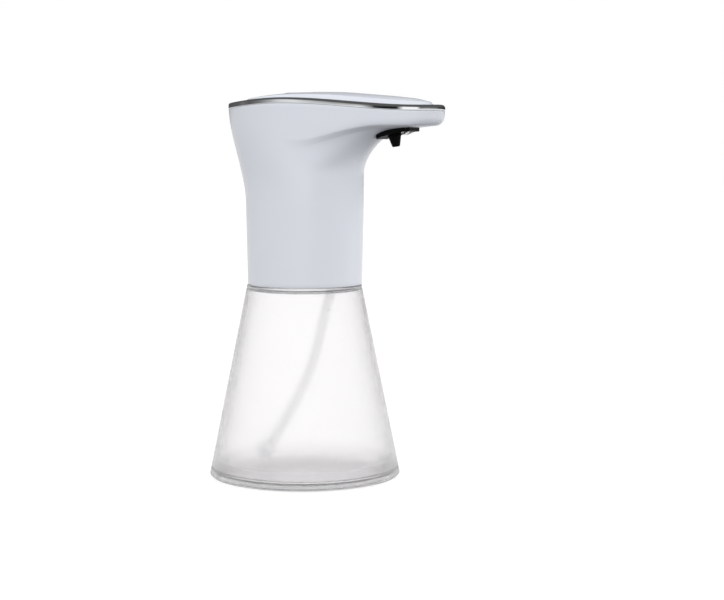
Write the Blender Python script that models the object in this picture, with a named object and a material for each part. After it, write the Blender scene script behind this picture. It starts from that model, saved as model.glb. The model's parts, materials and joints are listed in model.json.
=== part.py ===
"""Countertop automatic soap dispenser: a frosted cone bottle under a white head with a spout.

Lengths are in millimetres and become metres when a mesh is made. +X is the way the spout
points, +Z is up, and the origin is the centre of the resting face.
"""

from math import acos, atan, cos, exp, hypot, log, pi, radians, sin, sqrt, tan

import bmesh
import bpy
from mathutils import Matrix, Vector

MM = 0.001
GAP = 0.3
STEPS = 40

# Bottle
BASE_R = 48.09
CONE_SLOPE = 0.2025
WALL = 2.0
PAD_R = 42.0
RIM_BOTTOM = 0.4
FLOOR_TOP = 4.2
SHOULDER_Z = 94.3
NECK_OUTER = 23.1
NECK_INNER = 21.6
NECK_TOP = 102.5
LUG_REACH = 1.3
LUG_HALF = 14.0
LUG_ANGLES = (60.0, 180.0, 300.0)
LUG_Z = (99.5, 101.5)

# Head outline: a circle round the neck and a circle at the spout's tip, blended
HEAD_BOTTOM = 96.3
NECK_R = 28.23
SIDE_DRAFT = 0.020
FRONT_DRAFT = 0.030
FLARE_START = 136.0
FLARE_END = 186.0
TOP_R = 31.0
BACK_SHIFT = 7.1
THROAT_Z = 150.0
THROAT_TOP = (58.0, 173.6)
SPOUT_SLOPE = 0.10
TIP_X = 73.45
TIP_DRAFT = 0.094
TIP_TOP_Z = 183.0
TIP_R = 15.0
NECK_NOSE_R = 26.0
LIP_R = 4.5
TOP_INSET = 1.5
BLEND = 1.0

# Top edge of the head: the height of the arch at its back end, its peak and its front end
ARCH_BACK = (-45.0, 186.3)
ARCH_BACK_SLOPE = -0.064
ARCH_PEAK = (1.7, 188.4)
ARCH_FRONT = (78.0, 185.25)
ARCH_FRONT_SLOPE = 0.09
TRIM_H = 2.7
TRIM_WALL = 1.5
LEDGE_TIP = 6.0
LEDGE_BACK = 9.0
CROWN_EDGE = 2.2
CROWN = 1.5
LID_WALL = 2.0

# Bulkhead and inlet
SKIRT_OUTER = 25.85
SKIRT_INNER = 24.75
PLATE_Z = (103.2, 105.2)
INLET_X = 15.2
BARB_BOTTOM = 96.7

# Pump and motor
PUMP_X = 11.4
GEAR_SPACING = 9.0
TEETH = 12
PRESSURE_ANGLE = radians(25)
ADDENDUM = 0.55
DEDENDUM = 0.9
BACKLASH = 0.3
GEAR_Z = (111.3, 118.2)
PUMP_Z = (109.0, 118.5)
COVER_Z = (118.8, 121.8)
SHAFT_R = 1.0
MOTOR_R = 10.0
MOTOR_FLAT = 7.6
MOTOR_WALL = 1.2
CAN_Z = (123.5, 146.0)
MOTOR_Y = GEAR_SPACING / 2
PORT_OFFSET = 3.8
EAR = (6.2, 9.6)

# Batteries
CELL_R = 5.25
CELL_H = 43.6
CELL_NUB_H = 0.9
CELL_BOTTOM = 109.0
PACK_X = -9.5
CELL_PITCH = 11.0
CASE_WALL = 1.2
CASE_Z = (105.5, 157.0)

# Outlet and sensor
BEZEL_X = (41.3, 58.6)
BEZEL_HALF = 9.0
BEZEL_CORNER = 5.0
BEZEL_AXES = (29.4, 22.1)
BEZEL_DEEP = 4.5
LENS_X = (52.9, 56.8)
LENS_HALF = 4.2
LENS_Z = (170.1, 171.7)
LENS_TOP = 173.2
SENSOR_X = 54.85
SENSOR_BOARD_Z = (177.2, 178.4)
NOZZLE_X = 48.14
NOZZLE_TILT = radians(9)
NOZZLE_TIP_R = 1.95
NOZZLE_BASE_R = 3.3
NOZZLE_DROP = 6.1

# Controls
BUTTON_R = 9.0
BUTTON_TOP = 191.9
BOARD_Z = (179.2, 180.8)

# Dip tube
TUBE_R = 2.25
TUBE_ROUTE = ((15.2, 96.1), (14.9, 94.6), (13.8, 91.7), (9.9, 77.2), (6.1, 62.5), (0.3, 47.7),
              (-7.7, 33.3), (-15.8, 20.2), (-19.4, 15.4))
STRAINER_DIRECTION = Vector((-0.6, 0.0, -0.8))

COLOURS = {
    "white_plastic": ((0.80, 0.83, 0.86), 0.25, 0.0),
    "chrome": ((0.85, 0.86, 0.88), 0.06, 1.0),
    "frosted_plastic": ((0.86, 0.89, 0.92), 0.45, 0.0),
    "clear_silicone": ((0.88, 0.90, 0.92), 0.40, 0.0),
    "black_plastic": ((0.015, 0.015, 0.017), 0.35, 0.0),
    "smoked_lens": ((0.02, 0.01, 0.015), 0.08, 0.0),
    "grey_plastic": ((0.28, 0.29, 0.31), 0.45, 0.0),
    "pale_gear": ((0.78, 0.76, 0.68), 0.45, 0.0),
    "steel": ((0.58, 0.58, 0.60), 0.25, 1.0),
    "copper": ((0.72, 0.38, 0.20), 0.30, 1.0),
    "board": ((0.03, 0.22, 0.10), 0.40, 0.0),
    "cell_jacket": ((0.10, 0.30, 0.16), 0.35, 0.0),
    "red_wire": ((0.55, 0.03, 0.03), 0.45, 0.0),
    "black_wire": ((0.02, 0.02, 0.02), 0.45, 0.0),
    "rubber": ((0.55, 0.57, 0.60), 0.70, 0.0),
}


# ---------------------------------------------------------------- scene helpers

def clear_scene():
    for obj in list(bpy.data.objects):
        bpy.data.objects.remove(obj)


def material(name):
    found = bpy.data.materials.get(name)
    if found:
        return found
    colour, roughness, metallic = COLOURS[name]
    made = bpy.data.materials.new(name)
    made.use_nodes = True
    shader = made.node_tree.nodes["Principled BSDF"]
    shader.inputs["Base Color"].default_value = (*colour, 1.0)
    shader.inputs["Roughness"].default_value = roughness
    shader.inputs["Metallic"].default_value = metallic
    made.diffuse_color = (*colour, 1.0)
    return made


def empty(name, at, parent=None):
    obj = bpy.data.objects.new(name, None)
    bpy.context.scene.collection.objects.link(obj)
    place(obj, at, parent)
    return obj


def place(obj, at, parent):
    """Puts the object at a world position, under its parent."""
    obj["at"] = at
    base = Vector(parent["at"]) if parent else Vector()
    obj.parent = parent
    obj.location = (Vector(at) - base) * MM


def add(name, bm, colour, at=(0.0, 0.0, 0.0), parent=None, turn=None):
    """Makes the named object from a bmesh that is in metres about its own origin."""
    bmesh.ops.recalc_face_normals(bm, faces=bm.faces)
    mesh = bpy.data.meshes.new(name)
    bm.to_mesh(mesh)
    bm.free()
    mesh.shade_smooth()
    mesh.set_sharp_from_angle(angle=radians(35))
    mesh.materials.append(material(colour))
    obj = bpy.data.objects.new(name, mesh)
    bpy.context.scene.collection.objects.link(obj)
    if turn:
        obj.matrix_basis = turn.to_4x4()
    place(obj, at, parent)
    return obj


def boolean(obj, bm, operation):
    """Cuts or joins a helper, which has its own world position, to the object."""
    helper = add(obj.name + "_helper", bm, "grey_plastic")
    helper.hide_render = True
    helper.display_type = "WIRE"
    modifier = obj.modifiers.new(operation.lower(), "BOOLEAN")
    modifier.operation = operation
    modifier.solver = "EXACT"
    modifier.object = helper


def cut(obj, bm):
    boolean(obj, bm, "DIFFERENCE")


def join(obj, bm):
    boolean(obj, bm, "UNION")


# ---------------------------------------------------------------- shape helpers

def moved(bm, at, turn=None):
    matrix = Matrix.Translation(Vector(at) * MM)
    if turn:
        matrix = matrix @ turn.to_4x4()
    bmesh.ops.transform(bm, matrix=matrix, verts=bm.verts)
    return bm


def turned(profile, steps=STEPS):
    """A solid of revolution round Z from (radius, height) points."""
    bm = bmesh.new()
    points = [bm.verts.new((r * MM, 0.0, z * MM)) for r, z in profile]
    edges = [bm.edges.new(pair) for pair in zip(points, points[1:])]
    if profile[0][0] > 0 or profile[-1][0] > 0:
        edges.append(bm.edges.new((points[-1], points[0])))
    bmesh.ops.spin(bm, geom=points + edges, cent=(0, 0, 0), axis=(0, 0, 1),
                   angle=2 * pi, steps=steps, use_merge=True)
    bmesh.ops.remove_doubles(bm, verts=bm.verts, dist=1e-7)
    return bm


def cylinder(radius, z0, z1, steps=STEPS):
    return turned(((0, z0), (radius, z0), (radius, z1), (0, z1)), steps)


def ring(inner, outer, z0, z1, steps=STEPS):
    return turned(((outer, z0), (outer, z1), (inner, z1), (inner, z0)), steps)


def block(x, y, z, bevel=0.0):
    """A box between the given limits, with bevelled edges if asked."""
    bm = bmesh.new()
    bmesh.ops.create_cube(bm, size=1.0)
    size = Vector((x[1] - x[0], y[1] - y[0], z[1] - z[0])) * MM
    centre = Vector((x[0] + x[1], y[0] + y[1], z[0] + z[1])) * (MM / 2)
    bmesh.ops.scale(bm, vec=size, verts=bm.verts)
    bmesh.ops.translate(bm, vec=centre, verts=bm.verts)
    if bevel:
        bmesh.ops.bevel(bm, geom=bm.edges[:], offset=bevel * MM, segments=1, affect="EDGES")
    return bm


def skin(rings, loop=False):
    """A surface through rings of points, closed by end faces or back onto the first ring."""
    bm = bmesh.new()
    rows = [[bm.verts.new(Vector(p) * MM) for p in points] for points in rings]
    count = len(rows[0])
    pairs = list(zip(rows, rows[1:]))
    if loop:
        pairs.append((rows[-1], rows[0]))
    for low, high in pairs:
        for k in range(count):
            n = (k + 1) % count
            bm.faces.new((low[k], low[n], high[n], high[k]))
    if not loop:
        bm.faces.new(rows[0][::-1])
        bm.faces.new(rows[-1])
    return bm


def plate(outline, holes, z):
    """A flat plate with holes, between two heights."""
    bm = bmesh.new()
    for points in (outline, *holes):
        corners = [bm.verts.new((x * MM, y * MM, z[0] * MM)) for x, y in points]
        for pair in zip(corners, corners[1:] + corners[:1]):
            bm.edges.new(pair)
    bmesh.ops.triangle_fill(bm, use_beauty=True, edges=bm.edges[:])
    grown = bmesh.ops.extrude_face_region(bm, geom=bm.faces[:])
    top = [v for v in grown["geom"] if isinstance(v, bmesh.types.BMVert)]
    bmesh.ops.translate(bm, vec=(0, 0, (z[1] - z[0]) * MM), verts=top)
    return bm


def circle(x, y, radius, steps=16):
    angles = [2 * pi * k / steps for k in range(steps)]
    return [(x + radius * cos(a), y + radius * sin(a)) for a in angles]


def flatted_circle(radius, flat):
    """A circle about the origin with a flat on either side."""
    return [(min(max(x, -flat), flat), y) for x, y in circle(0, 0, radius, 36)]


def rounded(x, half, corner, grow=0.0, steps=4):
    """A rectangle between two x and symmetric in y, with round corners, grown by an amount."""
    x0, x1, half = x[0] - grow, x[1] + grow, half + grow
    radius = corner + grow
    centres = ((x1 - radius, half - radius, 0), (x0 + radius, half - radius, 90),
               (x0 + radius, radius - half, 180), (x1 - radius, radius - half, 270))
    outline = []
    for cx, cy, start in centres:
        for k in range(steps + 1):
            angle = radians(start + 90 * k / steps)
            outline.append((cx + radius * cos(angle), cy + radius * sin(angle)))
    return outline


def arc_block(r, z, middle, half, steps=5):
    """A block between two radii, spanning an angle either side of its middle."""
    angles = [radians(middle - half + 2 * half * k / steps) for k in range(steps + 1)]
    outline = [(r[1] * cos(a), r[1] * sin(a)) for a in angles]
    outline += [(r[0] * cos(a), r[0] * sin(a)) for a in reversed(angles)]
    return plate(outline, (), z)


def side_prism(profile, y):
    """An (x, z) outline carried from one y to another."""
    return skin([[(px, side, pz) for px, pz in profile] for side in y])


def smooth_path(route, step):
    """Points about a step apart on a Catmull-Rom curve through the route."""
    points = [Vector(p) for p in route]
    padded = [2 * points[0] - points[1], *points, 2 * points[-1] - points[-2]]
    path = [points[0]]
    for a, b, c, d in zip(padded, padded[1:], padded[2:], padded[3:]):
        count = max(1, round((c - b).length / step))
        for k in range(1, count + 1):
            t = k / count
            path.append((2 * b + (c - a) * t + (2 * a - 5 * b + 4 * c - d) * t ** 2
                         + (3 * b - a - 3 * c + d) * t ** 3) / 2)
    return path


def tube(name, path, radius, colour, parent, resolution=2):
    """A round tube along a path, as a curve with filled ends."""
    curve = bpy.data.curves.new(name, "CURVE")
    curve.dimensions = "3D"
    curve.bevel_depth = radius * MM
    curve.bevel_resolution = resolution
    curve.use_fill_caps = True
    spline = curve.splines.new("POLY")
    spline.points.add(len(path) - 1)
    base = Vector(parent["at"])
    for point, spot in zip(spline.points, path):
        point.co = (*((Vector(spot) - base) * MM), 1.0)
    curve.materials.append(material(colour))
    obj = bpy.data.objects.new(name, curve)
    bpy.context.scene.collection.objects.link(obj)
    place(obj, parent["at"], parent)


# ---------------------------------------------------------------- head outline

def ease(t):
    t = min(max(t, 0.0), 1.0)
    return t * t * (3 - 2 * t)


def fillet(before, corner, after, radius, steps):
    """Points of the arc that rounds the corner of three (x, z) points."""
    to_before = (Vector(before) - Vector(corner)).normalized()
    to_after = (Vector(after) - Vector(corner)).normalized()
    half = acos(to_before.dot(to_after)) / 2
    centre = Vector(corner) + (to_before + to_after).normalized() * (radius / sin(half))
    start = Vector(corner) + to_before * (radius / tan(half)) - centre
    end = Vector(corner) + to_after * (radius / tan(half)) - centre
    sweep = pi - 2 * half
    weights = [k / steps for k in range(steps + 1)]
    return [centre + (start * sin((1 - w) * sweep) + end * sin(w * sweep)) / sin(sweep)
            for w in weights]


def front_profile():
    """The head's front edge in the plane of symmetry, from the neck's foot to its top."""
    neck_x = NECK_R + FRONT_DRAFT * (THROAT_Z - HEAD_BOTTOM)
    wide, tall = THROAT_TOP[0] - neck_x, THROAT_TOP[1] - THROAT_Z
    sweep = atan(tall / wide / SPOUT_SLOPE)
    turns = [sweep * k / 16 for k in range(17)]
    throat = [Vector((THROAT_TOP[0] - wide * cos(t), THROAT_Z + tall * sin(t))) for t in turns]
    spout = throat[-1]
    top = Vector((TIP_X, TIP_TOP_Z))
    tip_x = TIP_X - TIP_DRAFT * (TIP_TOP_Z - spout.y)
    corner_z = spout.y + SPOUT_SLOPE * (tip_x - spout.x) / (1 - SPOUT_SLOPE * TIP_DRAFT)
    corner = (TIP_X - TIP_DRAFT * (TIP_TOP_Z - corner_z), corner_z)
    return [Vector((NECK_R, HEAD_BOTTOM)), *throat, *fillet(spout, corner, top, LIP_R, 8), top]


FRONT = front_profile()


def front_x(z):
    """How far forward the head reaches at a height."""
    if z >= TIP_TOP_Z:
        return TIP_X - TOP_INSET * ((z - TIP_TOP_Z) / 2.5) ** 2
    for low, high in zip(FRONT, FRONT[1:]):
        if z <= high.y:
            return low.x + (high.x - low.x) * (z - low.y) / (high.y - low.y)
    return TIP_X


def outline_circles(z):
    """(centre, radius) of the neck circle and of the nose circle at a height."""
    flare = ease((z - FLARE_START) / (FLARE_END - FLARE_START))
    side = NECK_R + SIDE_DRAFT * (min(z, FLARE_START) - HEAD_BOTTOM)
    reach = front_x(z)
    share = min(max((reach - 30.0) / (TIP_X - 32.0), 0.0), 1.0)
    nose = NECK_NOSE_R + (TIP_R - NECK_NOSE_R) * (1 - (1 - share) ** 2)
    return (-BACK_SHIFT * flare, side + (TOP_R - side) * flare), (reach - nose, nose)


def outline_point(z, angle, inset=0.0):
    """The (x, y) of the head's outline where its outward normal has this angle."""
    (back_x, back_r), (nose_x, nose_r) = outline_circles(z)
    back = back_x * cos(angle) + back_r
    nose = nose_x * cos(angle) + nose_r
    share = 1 / (1 + exp(BLEND * (back - nose)))
    reach = max(back, nose) + log(1 + exp(-BLEND * abs(back - nose))) / BLEND - inset
    slide = -(back_x * (1 - share) + nose_x * share) * sin(angle)
    return (reach * cos(angle) - slide * sin(angle), reach * sin(angle) + slide * cos(angle))


def outline_angles():
    """Normals all round the head, close together where its sides run straight."""
    (back_x, back_r), (nose_x, nose_r) = outline_circles(TIP_TOP_Z)
    shares = (0.97, 0.87, 0.7, 0.5, 0.3, 0.13, 0.03)
    sides = [acos((back_r - nose_r + log(s / (1 - s)) / BLEND) / (nose_x - back_x))
             for s in shares]
    half = [radians(a) for a in (13, 26, 39, 51, 62)] + sides
    half += [radians(a) for a in (90, 101, 113, 126, 140, 153, 166)]
    return [0.0, *half, pi, *[2 * pi - a for a in reversed(half)]]


ANGLES = outline_angles()


def arch(x):
    """Height of the head's top edge, a smooth arch along X."""
    (x0, z0), (x1, z1), (x2, z2) = ARCH_BACK, ARCH_PEAK, ARCH_FRONT
    if x < x1:
        start, end, width, m0, m1 = z0, z1, x1 - x0, ARCH_BACK_SLOPE, 0.0
        t = (x - x0) / width
    else:
        start, end, width, m0, m1 = z1, z2, x2 - x1, 0.0, ARCH_FRONT_SLOPE
        t = (x - x1) / width
    return (start * (2 * t ** 3 - 3 * t ** 2 + 1) + m0 * width * (t ** 3 - 2 * t ** 2 + t)
            + end * (3 * t ** 2 - 2 * t ** 3) + m1 * width * (t ** 3 - t ** 2))


def top_ring(drop, inset):
    """A ring of points that follows the arch, a drop below it and inset from the outline."""
    points = []
    for angle in ANGLES:
        x, y = outline_point(TIP_TOP_Z, angle, inset)
        for _ in range(2):
            x, y = outline_point(arch(x) - drop, angle, inset)
        points.append((x, y, arch(x) - drop))
    return points


def level_ring(z, inset=0.0, drop=0.0):
    """A level ring of the outline, taken a drop lower than where it is put."""
    taken = max(z - drop, HEAD_BOTTOM)
    return [(*outline_point(taken, angle, inset), z) for angle in ANGLES]


def between(low, high, share):
    return [tuple(Vector(a).lerp(Vector(b), share)) for a, b in zip(low, high)]


def bezel_z(x):
    """Height of the sensor bezel's lower face, which curves with the throat."""
    across = (THROAT_TOP[0] - x) / BEZEL_AXES[0]
    return THROAT_Z + BEZEL_AXES[1] * sqrt(1 - across ** 2)


# ---------------------------------------------------------------- bottle

def cone_r(z):
    return BASE_R - CONE_SLOPE * z


def make_foot_pad():
    profile = ((0, 0), (PAD_R - 0.5, 0), (PAD_R, 0.5), (PAD_R, 1.6), (0, 1.6))
    add("foot_pad", turned(profile), "rubber")


def make_bottle_base():
    recess = PAD_R + 0.4
    shelf = FLOOR_TOP
    spigot = cone_r(shelf) - WALL - GAP
    profile = ((0, 1.9), (recess, 1.9), (recess, RIM_BOTTOM), (47.2, RIM_BOTTOM),
               (47.9, 1.1), (cone_r(shelf), shelf), (spigot - 0.1, shelf),
               (spigot - 1.1, shelf + 4.6), (spigot - 2.3, shelf + 4.6),
               (spigot - 2.3, shelf), (0, shelf))
    add("bottle_base", turned(profile, 48), "frosted_plastic")


def make_bottle_shell():
    """Cone, shoulder and open neck in one moulding, with three bayonet lugs."""
    low = FLOOR_TOP + GAP
    under = SHOULDER_Z - WALL
    profile = ((cone_r(low), low), (cone_r(93.5), 93.5), (cone_r(94) - 0.3, SHOULDER_Z),
               (NECK_OUTER, SHOULDER_Z), (NECK_OUTER, NECK_TOP), (NECK_INNER, NECK_TOP),
               (NECK_INNER, under), (cone_r(under) - WALL - 0.8, under),
               (cone_r(under - 1) - WALL, under - 1), (cone_r(low) - WALL, low))
    shell = add("bottle_shell", turned(profile, 48), "frosted_plastic")
    for middle in LUG_ANGLES:
        radii = (NECK_OUTER - 0.6, NECK_OUTER + LUG_REACH)
        join(shell, arc_block(radii, LUG_Z, middle, LUG_HALF))


def make_seal_ring(seal):
    inner, outer = NECK_OUTER + GAP, 28.75
    low, high = SHOULDER_Z + GAP, HEAD_BOTTOM - GAP
    profile = ((outer - 0.3, low), (outer, low + 0.3), (outer, high - 0.3),
               (outer - 0.3, high), (inner, high), (inner, low))
    base = Vector(seal["at"]).z
    shifted = [(r, z - base) for r, z in profile]
    add("seal_ring", turned(shifted, 40), "clear_silicone", seal["at"], seal)


# ---------------------------------------------------------------- bulkhead and inlet

def make_bulkhead(head):
    """Closes the head's foot, holds the pump, and locks under the bottle's lugs."""
    low, (under, top) = HEAD_BOTTOM + GAP, PLATE_Z
    profile = ((0, under), (SKIRT_INNER, under), (SKIRT_INNER, low), (SKIRT_OUTER, low),
               (SKIRT_OUTER, top), (0, top))
    bulkhead = add("neck_bulkhead", turned(profile), "white_plastic")
    for middle in LUG_ANGLES:
        radii = (NECK_OUTER + 0.35, SKIRT_INNER + 0.5)
        heights = (LUG_Z[0] - GAP - 1.9, LUG_Z[0] - GAP)
        join(bulkhead, arc_block(radii, heights, middle, LUG_HALF))
    for side in (-1, 1):
        standoff = ring(1.2, 2.2, top - 0.5, PUMP_Z[0] - GAP, 12)
        join(bulkhead, moved(standoff, (PUMP_X + EAR[0], side * EAR[1], 0)))
        for x, y in ((PUMP_X + EAR[0], side * EAR[1]), (0.0, side * 22.3)):
            cut(bulkhead, moved(screw_pocket(under), (x, y, 0)))
    cut(bulkhead, moved(cylinder(2.3, under - 1, top + 1, 16), (INLET_X, 0, 0)))
    cut(bulkhead, battery_door((under - 1, top + 1), 0.0))
    bulkhead.parent = head
    bulkhead.location = -Vector(head["at"]) * MM


def screw_pocket(under):
    """A through hole with a counterbore from below."""
    profile = ((0, under - 1), (2.2, under - 1), (2.2, under + 1.3), (1.2, under + 1.3),
               (1.2, under + 8), (0, under + 8))
    return turned(profile, 12)


def battery_door(z, shrink):
    """Outline of the battery opening with its screw tab, smaller by the given amount."""
    half = CELL_PITCH + 1.2 - shrink
    x0, x1 = PACK_X - CELL_PITCH - 0.8 + shrink, PACK_X + CELL_PITCH + 0.8 - shrink
    tab_x, tab_y = x1 + 5.2, 4.2 - shrink
    outline = ((x0, -half + 2), (x0 + 2, -half), (x1, -half), (x1, -tab_y), (tab_x, -tab_y),
               (tab_x, tab_y), (x1, tab_y), (x1, half), (x0 + 2, half), (x0, half - 2))
    return plate(outline, (), z)


def make_screw(name, at, length, head, up=True, head_r=1.8, shank_r=0.85):
    """A pan-head screw whose head is at its own origin, with a cross recess."""
    way = 1 if up else -1
    profile = [(0, 0), (head_r - 0.3, 0), (head_r, 0.4 * way), (head_r, 1.0 * way),
               (shank_r, 1.0 * way), (shank_r, (length - 0.6) * way), (0.3, length * way),
               (0, length * way)]
    screw = add(name, turned(profile, 12), "steel", at, head)
    for wide, deep in ((1.1, 0.2), (0.2, 1.1)):
        slot = block((-wide, wide), (-deep, deep), (-0.5, 0.5))
        cut(screw, moved(slot, at))


def make_inlet_barb(head):
    """Spigot that the dip tube pushes onto, with its bore open at both ends."""
    top = PUMP_Z[0] - GAP
    collar = PLATE_Z[1] + GAP
    profile = ((1.1, BARB_BOTTOM), (1.7, BARB_BOTTOM), (2.0, BARB_BOTTOM + 1.6),
               (1.8, BARB_BOTTOM + 1.7), (1.8, collar), (3.0, collar), (3.0, top), (1.1, top))
    add("inlet_barb", turned(profile, 16), "grey_plastic", (INLET_X, 0, 0), head)


def make_dip_tube(head):
    route = [(x, 0.0, z) for x, z in TUBE_ROUTE]
    path = smooth_path(route, 5.0)
    tube("dip_tube", path, TUBE_R, "clear_silicone", head)
    turn = Vector((0, 0, 1)).rotation_difference(STRAINER_DIRECTION)
    start = path[-1] + STRAINER_DIRECTION * 0.6
    profile = ((0, 0), (2.6, 0), (3.7, 1.2), (3.7, 6.0), (3.0, 7.2), (0, 7.2))
    strainer = add("inlet_strainer", moved(turned(profile, 20), (0, 0, 0), turn.to_matrix()),
                   "grey_plastic", tuple(start), head)
    pocket = moved(cylinder(2.4, 3.0, 8.0, 12), start, turn.to_matrix())
    cut(strainer, pocket)


# ---------------------------------------------------------------- head casing

def make_head_shell(head):
    """Neck and spout in one thin shell, open below and above."""
    outer_levels = (HEAD_BOTTOM, 118, 136, 146, 152, 156, 160, 163, 165.5, 167.5, 169.2,
                    170.6, 171.7, 172.5, 173.1, 173.5, 173.8, 174.1, 174.4, 174.7, 174.95,
                    175.3, 175.8, 176.5, 177.5, 178.8)
    inner_levels = (177.4, 176.9, 176.3, 175.7, 174.9, 173.5, 171.5, 168.5, 164, 157, 146, 136)
    rings = [level_ring(z) for z in outer_levels]
    rim = top_ring(TRIM_H + GAP, 0.0)
    rings += [between(rings[-1], rim, 0.5), rim, top_ring(TRIM_H + GAP, WALL)]
    rings += [level_ring(z, WALL, 2.2) for z in inner_levels]
    rings += [level_ring(HEAD_BOTTOM, WALL)]
    shell = add("head_shell", skin(rings, loop=True), "white_plastic")
    cut(shell, plate(rounded(BEZEL_X, BEZEL_HALF, BEZEL_CORNER, GAP), (), (155, 181)))
    for side in (-1, 1):
        near, far = sorted((side * 20.2, side * 27.5))
        join(shell, block((-2.4, 2.4), (near, far), (PLATE_Z[1] + GAP, 118)))
        cut(shell, moved(cylinder(1.2, 100, 116, 12), (0, side * 22.3, 0)))
    shell.parent = head
    shell.location = -Vector(head["at"]) * MM


def make_chrome_trim(head):
    rings = [top_ring(TRIM_H, 0.0), top_ring(TRIM_H / 2, 0.0), top_ring(0.6, 0.15),
             top_ring(0.0, 0.7), top_ring(0.0, TRIM_WALL), top_ring(TRIM_H, TRIM_WALL)]
    add_at_world("chrome_trim", skin(rings, loop=True), "chrome", head)


def add_at_world(name, bm, colour, parent):
    """Adds a shape that was made in world coordinates, with its origin at its parent's."""
    base = parent["at"]
    return add(name, moved(bm, -Vector(base)), colour, base, parent)


def lid_ring(share, depth):
    """A ring of the lid, from its edge at 0 to the middle line at 1, a depth below its top."""
    points = []
    (back_x, _), (nose_x, _) = outline_circles(TIP_TOP_Z)
    for x, y, z in top_ring(0.2, TRIM_WALL + GAP):
        middle = min(max(x, back_x), nose_x - 2)
        reach = hypot(x - middle, y)
        forward = ease((x + 20) / 80)
        ledge = LEDGE_BACK + (LEDGE_TIP - LEDGE_BACK) * forward - TRIM_WALL
        inward, height = lid_step(share, ledge, reach)
        keep = 1 - inward / reach
        px, py = middle + (x - middle) * keep, y * keep
        points.append((px, py, arch(px) - 0.2 + height - depth))
    return points


def lid_step(share, ledge, reach):
    """(distance from the edge, height): a flat ledge, a bevel, then a low crown."""
    if share <= 0:
        return 0.0, 0.0
    if share == 1:
        return ledge - 1.2, 0.2
    if share == 2:
        return ledge + 0.6, CROWN_EDGE
    rise = share - 2
    return ledge + 0.6 + (reach - ledge - 0.8) * rise, CROWN_EDGE + CROWN * (1 - (1 - rise) ** 2)


def make_top_cover(head):
    """Crowned lid with a flat ledge round it and a hole for the button."""
    shares = (0, 1, 2, 2.35, 2.7, 2.97)
    top = [lid_ring(s, 0.0) for s in shares]
    under = [lid_ring(s, LID_WALL) for s in (2.97, 2, 1, 0)]
    bm = skin(top[::-1] + under[::-1])
    lid = add_at_world("top_cover", bm, "white_plastic", head)
    cut(lid, cylinder(BUTTON_R + 2.0, 180, 200))


def make_button(button):
    base = Vector(button["at"]).z
    top = BUTTON_TOP
    profile = [(0, 184.3), (2.2, 184.3), (2.2, 188.6), (BUTTON_R, 188.6), (BUTTON_R, top - 0.5),
               (BUTTON_R - 0.5, top), (BUTTON_R * 0.6, top + 0.25), (0, top + 0.35)]
    shifted = [(r, z - base) for r, z in profile]
    add("power_button", turned(shifted, 32), "white_plastic", button["at"], button)


def make_light_ring(head):
    inner, outer = BUTTON_R + GAP, BUTTON_R + 2.0 - GAP
    profile = ((outer, 188.0), (outer, BUTTON_TOP - 0.5), (inner + 0.2, BUTTON_TOP - 0.3),
               (inner, BUTTON_TOP - 0.5), (inner, 188.0))
    add("light_ring", turned(profile, 32), "clear_silicone", (0, 0, 0), head)


# ---------------------------------------------------------------- boards

def make_boards(head):
    outline = ((-22, -15), (-18, -19), (20, -19), (26, -13), (26, 13), (20, 19), (-18, 19),
               (-22, 15))
    low, high = BOARD_Z
    add_at_world("main_board", plate(outline, (), BOARD_Z), "board", head)
    switch = block((-3, 3), (-3, 3), (high + GAP, high + 2.1), 0.3)
    add_at_world("tact_switch", switch, "black_plastic", head)
    chip = block((10, 17), (-3.5, 3.5), (high + GAP, high + 1.5), 0.2)
    add_at_world("controller_chip", chip, "black_plastic", head)
    socket = block((19, 24.5), (-3.0, 3.0), (low - 3.2, low - GAP), 0.2)
    add_at_world("sensor_socket", socket, "pale_gear", head)


# ---------------------------------------------------------------- batteries

def cell_spots():
    half = CELL_PITCH / 2
    return [(PACK_X + i * half, j * half) for i, j in ((-1, -1), (-1, 1), (1, 1), (1, -1))]


def make_battery_case(head):
    half = CELL_PITCH + 1.35
    x = (PACK_X - CELL_PITCH - 1.35, PACK_X + CELL_PITCH + 1.35)
    low, high = CASE_Z
    case = add_at_world("battery_case", block(x, (-half, half), CASE_Z, 1.0), "grey_plastic", head)
    hollow = (x[0] + CASE_WALL, x[1] - CASE_WALL), (CASE_WALL - half, half - CASE_WALL)
    cut(case, block(hollow[0], hollow[1], (low - 5, high - CASE_WALL)))
    join(case, block((x[1] - 0.8, x[1] + 4.6), (-4, 4), (low, low + 3.0)))
    cut(case, moved(cylinder(1.2, low - 2, low + 8, 12), (x[1] + 2.2, 0, 0)))


def make_battery_cover(head):
    low, high = PLATE_Z[0], PLATE_Z[0] + 1.7
    tab = PACK_X + CELL_PITCH + 1.35 + 2.2
    cover = add_at_world("battery_cover", battery_door((low, high), GAP), "white_plastic", head)
    cut(cover, moved(screw_pocket(low), (tab, 0, 0)))
    make_screw("battery_cover_screw", (tab, 0, low + 0.1), 5.0, head)


def make_cells(head):
    tall = CELL_H
    profile = ((0, 0), (4.6, 0), (CELL_R, 0.5), (CELL_R, tall - 0.5), (4.4, tall), (2.75, tall),
               (2.75, tall + CELL_NUB_H), (0, tall + CELL_NUB_H))
    for k, (x, y) in enumerate(cell_spots()):
        flipped = k % 2 == 1
        turn = Matrix.Rotation(pi if flipped else 0.0, 3, "X")
        z = CELL_BOTTOM + (tall + CELL_NUB_H if flipped else 0.0)
        add(f"battery_cell_{k + 1}", turned(profile, 16), "cell_jacket", (x, y, z), head, turn)


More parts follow.
